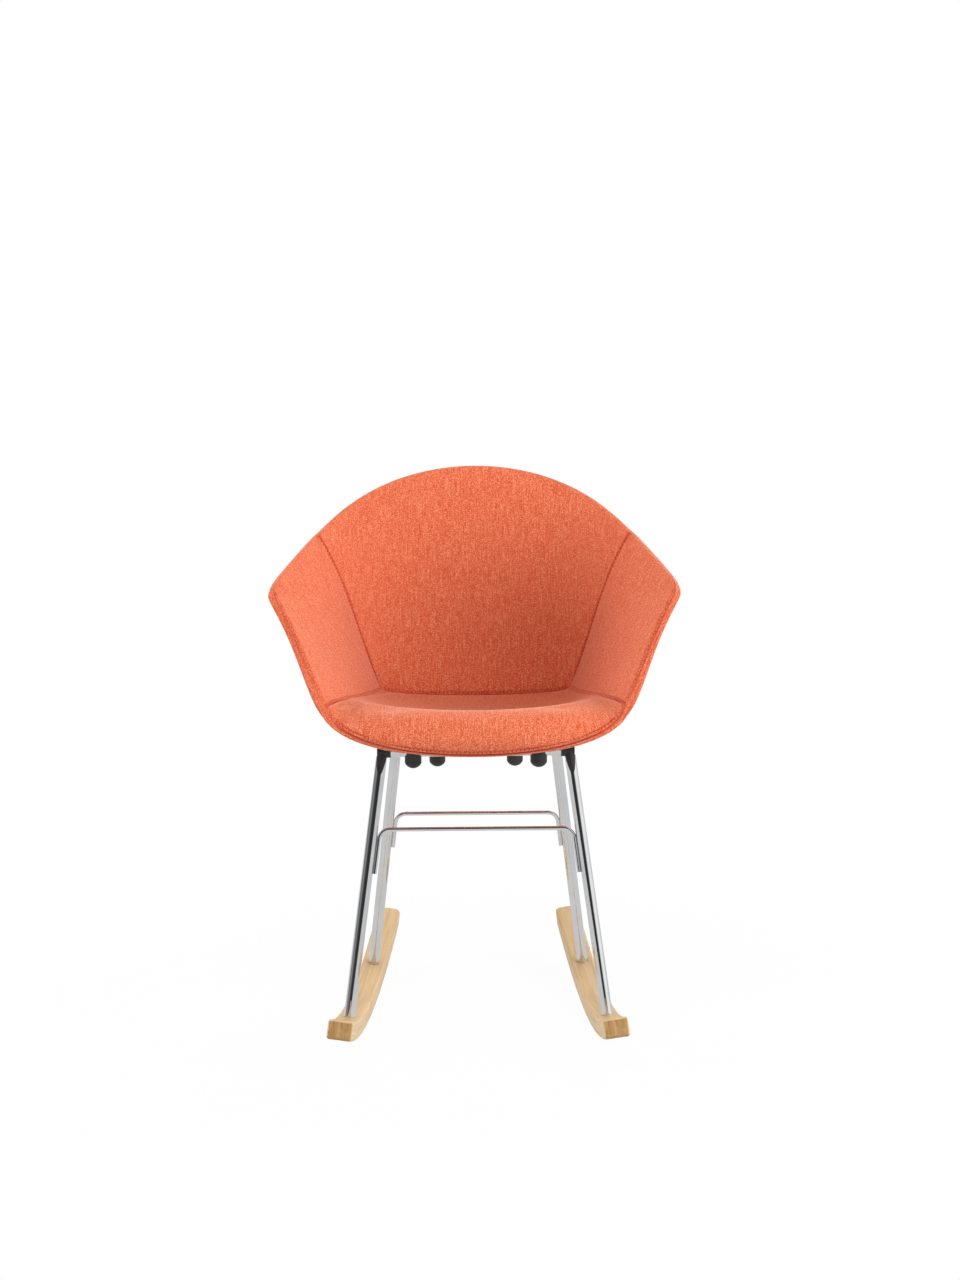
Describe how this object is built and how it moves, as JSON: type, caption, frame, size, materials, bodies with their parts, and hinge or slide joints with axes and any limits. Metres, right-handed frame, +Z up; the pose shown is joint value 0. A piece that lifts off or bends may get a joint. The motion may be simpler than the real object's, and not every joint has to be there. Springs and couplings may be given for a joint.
{
  "type": "rocking armchair",
  "caption": "Upholstered bucket armchair with flared arms on chromed tube legs and bent wooden rockers, braced by thin rods.",
  "frame": {"origin": "on the floor, under the middle of the rockers, half-way between the left and the right rocker", "axes": "+Z up, the sitter faces -Y, +X to the right of somebody who looks at the chair from the front"},
  "size_m": [0.596, 0.6697, 0.792],
  "materials": {
    "coral_wool": "matte",
    "seat_foam": "matte",
    "black_shell_plastic": "matte",
    "black_plastic": "satin",
    "beech": "satin",
    "chrome_tube": "polished",
    "zinc_steel": "satin",
    "brass": "satin"
  },
  "bodies": {
    "root": {"back_cover": "coral_wool", "back_foam": "seat_foam", "front_brace_rod": "chrome_tube", "front_cross_bar": "chrome_tube", "front_left_bar_plug": "black_plastic", "front_left_clamp": "black_plastic", "front_left_clamp_cap": "black_plastic", "front_left_foot_insert": "zinc_steel", "front_left_foot_plug": "beech", "front_left_foot_screw": "zinc_steel", "front_left_leg": "chrome_tube", "front_left_leg_pad": "black_plastic", "front_left_shell_bolt": "zinc_steel", "front_left_shell_insert": "brass", "front_right_bar_plug": "black_plastic", "front_right_clamp": "black_plastic", "front_right_clamp_cap": "black_plastic", "front_right_foot_insert": "zinc_steel", "front_right_foot_plug": "beech", "front_right_foot_screw": "zinc_steel", "front_right_leg": "chrome_tube", "front_right_leg_pad": "black_plastic", "front_right_shell_bolt": "zinc_steel", "front_right_shell_insert": "brass", "left_arm_cover": "coral_wool", "left_arm_foam": "seat_foam", "left_rocker": "beech", "outer_cover": "coral_wool", "rear_brace_rod": "chrome_tube", "rear_cross_bar": "chrome_tube", "rear_left_bar_plug": "black_plastic", "rear_left_clamp": "black_plastic", "rear_left_clamp_cap": "black_plastic", "rear_left_foot_insert": "zinc_steel", "rear_left_foot_plug": "beech", "rear_left_foot_screw": "zinc_steel", "rear_left_leg": "chrome_tube", "rear_left_shell_bolt": "zinc_steel", "rear_left_shell_insert": "brass", "rear_right_bar_plug": "black_plastic", "rear_right_clamp": "black_plastic", "rear_right_clamp_cap": "black_plastic", "rear_right_foot_insert": "zinc_steel", "rear_right_foot_plug": "beech", "rear_right_foot_screw": "zinc_steel", "rear_right_leg": "chrome_tube", "rear_right_shell_bolt": "zinc_steel", "rear_right_shell_insert": "brass", "right_arm_cover": "coral_wool", "right_arm_foam": "seat_foam", "right_rocker": "beech", "seat_cover": "coral_wool", "seat_foam": "seat_foam", "seat_shell": "black_shell_plastic"}
  },
  "joints": []
}
